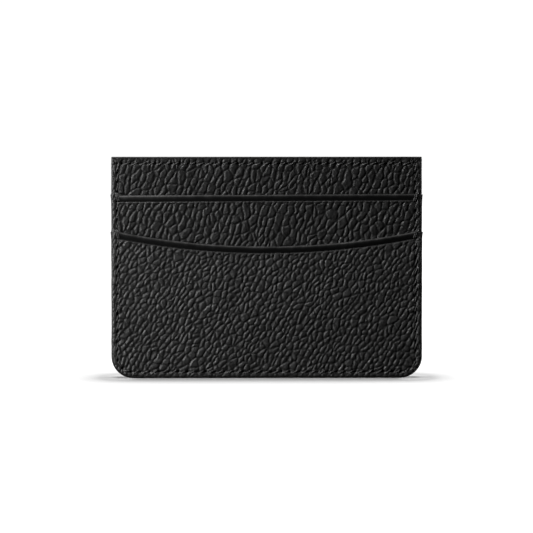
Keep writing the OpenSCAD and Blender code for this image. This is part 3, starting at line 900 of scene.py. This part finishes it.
def seam_thread(name, side, seed):
    mesh, rng = Mesh(), np.random.default_rng(seed)
    for i in range(SEAM_N):
        s = (i + 0.5) * STEP
        x, z, dx, dz = seam_at(s)
        if min(abs(z - EAR + 1.1), abs(z - MOUTH_UP + 1.1)) > 2.3 and min(abs(z - EAR), abs(z - MOUTH_UP)) > 1.5:
            stitch(mesh, x, z, dx, dz, layer_face(z) - 0.25, STEP * 0.78, float(lean(s)), rng)
    return mesh.piece(name, MAT["thread"], "thread", [name], 60, side)


def top_stitches(name, side, seed):
    mesh, rng = Mesh(), np.random.default_rng(seed)
    for i in range(TOP_N):
        x = (i - (TOP_N - 1) / 2) * TOP_PITCH
        stitch(mesh, x, TOP_SEAM, 1.0, 0.0, T_BODY - 0.25, TOP_PITCH * 0.78, 24.0, rng, 0.18)
    return mesh.piece(name, MAT["thread"], "thread", [name], 60, side)


def mouth_tacks(name, side, seed):
    """Doubled stitches that hold both ends of a mouth down over the step."""
    mesh, rng = Mesh(), np.random.default_rng(seed)
    for top, face, behind in ((MOUTH_UP, T_UP, T_BODY), (EAR, T_LOW, T_UP)):
        for s in (-1, 1):
            for k in (-1, 1):
                x = s * SEAM_X + k * 0.26
                jx = rng.normal(0, 0.03)
                leanx = 0.55 if s > 0 else -0.45
                pts = [(x - leanx + jx, face - 0.42, top - 2.05), (x - 0.85 * leanx + jx, face - 0.18, top - 1.9),
                       (x - 0.5 * leanx, face - 0.05, top - 1.3), (x, face + 0.03, top - 0.35),
                       (x + 0.15 * leanx, face - 0.06, top + 0.14), (x + 0.3 * leanx, face - 0.35, top + 0.24),
                       (x + 0.6 * leanx, (face + behind) / 2 + 0.1, top + 0.30), (x + 0.9 * leanx, behind + 0.30, top + 0.40),
                       (x + leanx, behind - 0.02, top + 0.62), (x + leanx, behind - 0.35, top + 0.70)]
                path = smooth_path([(p[0], p[1], p[2]) for p in pts], 5)
                strands(mesh, path, np.array([0.0, 0.64, 0.77]), 0.185, 3.4, rng.random() * 6)
    return mesh.piece(name, MAT["thread"], "thread", [name], 60, side)


made = {}
for side, label, seed in ((1, "front", 100), (-1, "back", 500)):
    n = label + "_"
    made[n + "lower_pocket"], _ = leather_panel(
        n + "lower_pocket", "small", T_LOW_IN, T_LOW, low_mouth, False, 0, seed, side, BAND, 0.243,
        lambda z: ear_push(z, EAR), (0.020, 0.45, 0.08, 0.75))
    made[n + "upper_pocket"], _ = leather_panel(
        n + "upper_pocket", "broad", T_UP_IN, T_UP, up_mouth, False, MOUTH_LOW - 2.5, seed + 10, side, BAND, 0.215,
        lambda z: ear_push(z, MOUTH_UP) * smooth(EAR - 1, EAR + 1, z))
    made[n + "body_panel"], _ = leather_panel(
        n + "body_panel", "broad", T_BODY_IN, T_BODY, flat_top(TOP - 0.1), True, MOUTH_UP - 2.5, seed + 20, side, None, 0.215)
    xs = np.linspace(-SEAM_X, SEAM_X, 400)
    made[n + "lower_mouth_coat"] = strip_coat(
        n + "lower_mouth_coat", side, xs, MOUTH_LOW + ARC_R - np.sqrt(ARC_R ** 2 - xs ** 2),
        mouth_profile(T_LOW_LIN, T_LOW, BAND + 0.06), "band", seed + 31)
    # the upper mouth's rim takes painted light towards its left end
    made[n + "upper_mouth_coat"] = strip_coat(
        n + "upper_mouth_coat", side, xs, up_mouth(xs),
        mouth_profile(T_UP_LIN, T_UP, BAND + 0.06), "band", seed + 33, painted_light_amount=1.0)
    xs = np.linspace(-HALF + 0.25, HALF - 0.25, 420)
    made[n + "top_edge_coat"] = strip_coat(
        n + "top_edge_coat", side, xs, np.full_like(xs, TOP + 0.07), top_profile(T_LIN, T_BODY), "coat_top_painted_lighter", seed + 35)
    made[n + "body_lining"] = lining(n + "body_lining", side, T_LIN, T_BODY_IN, flat_top(TOP - 0.25))
    made[n + "upper_pocket_lining"] = lining(n + "upper_pocket_lining", side, T_UP_LIN, T_UP_IN, lambda x: up_mouth(x) - 0.25)
    made[n + "lower_pocket_lining"] = lining(n + "lower_pocket_lining", side, T_LOW_LIN, T_LOW_IN, lambda x: low_mouth(x) - 0.25)
    made[n + "upper_welt"] = welt(n + "upper_welt", side, T_BODY, T_UP_LIN, MOUTH_UP, UP_FLOOR)
    made[n + "lower_welt"] = welt(n + "lower_welt", side, T_UP, T_LOW_LIN, EAR, WELT_W)
    made[n + "seam_thread"] = seam_thread(n + "seam_thread", side, seed + 41)
    made[n + "top_stitches"] = top_stitches(n + "top_stitches", side, seed + 42)
    made[n + "mouth_tacks"] = mouth_tacks(n + "mouth_tacks", side, seed + 43)
made["middle_welt"] = welt("middle_welt", 1, -T_LIN, T_LIN, TOP, WELT_W)
made["side_edge_coat"] = side_coat()

# ---------------------------------------------------------------- stage
scene = bpy.context.scene
scene.view_settings.view_transform = "Standard"
scene.view_settings.look = "None"
scene.view_settings.exposure = 0.0
scene.view_settings.gamma = 1.0

# The floor's emission paints light that brightens away from the object, so that only the contact shadow shows.
m, t, b = nodes_of("pale_floor")
co = coords(t)
fine = noise_of(t, co, 40, 2)
t.links.new(ramp_of(t, fine, [(0.0, (0.90, 0.90, 0.90)), (1.0, (0.93, 0.93, 0.93))]), b.inputs["Base Color"])
b.inputs["Roughness"].default_value = 1.0
b.inputs["Specular IOR Level"].default_value = 0.0
sep = t.nodes.new("ShaderNodeSeparateXYZ")
t.links.new(co, sep.inputs[0])
ax = math_node(t, "ABSOLUTE", sep.outputs[0])
ay = math_node(t, "ABSOLUTE", sep.outputs[1])
dx = math_node(t, "MULTIPLY", math_node(t, "MAXIMUM", math_node(t, "SUBTRACT", ax, (HALF - R + 1) / 1000), 0.0), 1.35)
dy = math_node(t, "MAXIMUM", math_node(t, "SUBTRACT", ay, T_LOW / 1000), 0.0)
away = math_node(t, "SQRT", math_node(t, "ADD", math_node(t, "MULTIPLY", dx, dx), math_node(t, "MULTIPLY", dy, dy)))
glow = ramp_of(t, range_of(t, away, 0.0, 0.2, 0.0, 1.0), [
    (0.0, (0, 0, 0)), (0.035, (0.0, 0.0, 0.0)), (0.06, (0.09, 0.09, 0.09)), (0.083, (0.26, 0.26, 0.26)),
    (0.11, (0.36, 0.36, 0.36)), (0.15, (0.46, 0.46, 0.46)), (0.4, (0.6, 0.6, 0.6)), (1.0, (1, 1, 1))])
# a patch of painted light in the floor's emission lightens the contact shadow under the rounded corners
under = math_node(t, "MULTIPLY", range_of(t, ax, 0.0415, 0.0445, 0.0, 1.0), range_of(t, ax, 0.047, 0.058, 1.0, 0.0))
under = math_node(t, "MULTIPLY", under, range_of(t, ay, 0.005, 0.016, 0.28, 0.0))
glow = math_node(t, "MAXIMUM", glow, under)
t.links.new(glow, b.inputs["Emission Color"])
b.inputs["Emission Strength"].default_value = 1.0
ring = [(1.6 * math.cos(a), 1.6 * math.sin(a), -0.00002) for a in np.linspace(0, 2 * math.pi, 96, endpoint=False)]
me = bpy.data.meshes.new("floor")
me.from_pydata(ring, [], [list(range(96))])
me.materials.append(m)
floor = bpy.data.objects.new("floor", me)
scene.collection.objects.link(floor)
floor.visible_glossy = False
floor.visible_diffuse = False

world = bpy.data.worlds.new("studio")
scene.world = world
world.use_nodes = True
world.node_tree.nodes["Background"].inputs[0].default_value = (1, 1, 1, 1)
world.node_tree.nodes["Background"].inputs[1].default_value = 1.02
world.cycles_visibility.diffuse = False
world.cycles_visibility.glossy = False

keep_off = bpy.data.collections.new("keeps_light_off_floor")
keep_off.objects.link(floor)
keep_off.collection_objects[0].light_linking.link_state = "EXCLUDE"


only_floor = bpy.data.collections.new("lights_only_floor")
only_floor.objects.link(floor)
only_floor.collection_objects[0].light_linking.link_state = "INCLUDE"


def softbox(name, where, aim, size, power, receivers=keep_off):
    d = bpy.data.lights.new(name, "AREA")
    d.shape = "RECTANGLE"
    d.size, d.size_y = size
    d.energy = power
    o = bpy.data.objects.new(name, d)
    scene.collection.objects.link(o)
    o.location = where
    o.rotation_mode = "QUATERNION"
    o.rotation_quaternion = (Vector(aim) - Vector(where)).to_track_quat("-Z", "Y")
    o.light_linking.receiver_collection = receivers
    o.visible_camera = False
    return o


mid = Vector((0, 0, TOP / 2000))
softbox("overhead", (0.0, 0.12, 1.25), (0, 0, 0), (1.1, 1.1), 15.0, only_floor)
softbox("key_upper_left", (-0.48, -0.30, 0.42), mid, (0.20, 0.20), 3.7)
softbox("rake_left", (-0.50, -0.075, 0.09), (0, 0, 0.035), (0.10, 0.10), 1.2)
softbox("fill_left", (-0.17, -0.13, 0.03), (-0.03, 0, 0.02), (0.08, 0.08), 0.17)
softbox("rim_left", (-0.085, -0.038, 0.150), (-0.04, 0, 0.055), (0.06, 0.04), 0.042)
softbox("top_left", (-0.30, -0.12, 0.80), mid, (0.3, 0.3), 2.8)
softbox("back_left", (-0.6, 0.9, 0.7), mid, (0.5, 0.5), 7.5)
softbox("back_right", (0.50, 0.76, 0.30), mid, (0.4, 0.4), 5.5)
softbox("side_right", (0.62, 0.30, 0.24), mid, (0.3, 0.3), 2.2)

# ---------------------------------------------------------------- camera
cam = bpy.data.cameras.new("camera")
camera = bpy.data.objects.new("camera", cam)
scene.collection.objects.link(camera)
far, rise, turn = 1.5, math.radians(3.0), math.radians(1.0)
aim = Vector((-0.00010, -T_LOW / 1000, 0.03592))
camera.location = aim + far * Vector((-math.cos(rise) * math.sin(turn), -math.cos(rise) * math.cos(turn), math.sin(rise)))
camera.rotation_mode = "QUATERNION"
camera.rotation_quaternion = (aim - camera.location).to_track_quat("-Z", "Y")
cam.lens = 36.0 * far / 0.17127
cam.clip_start, cam.clip_end = 0.05, 60
scene.camera = camera

bpy.context.view_layer.update()
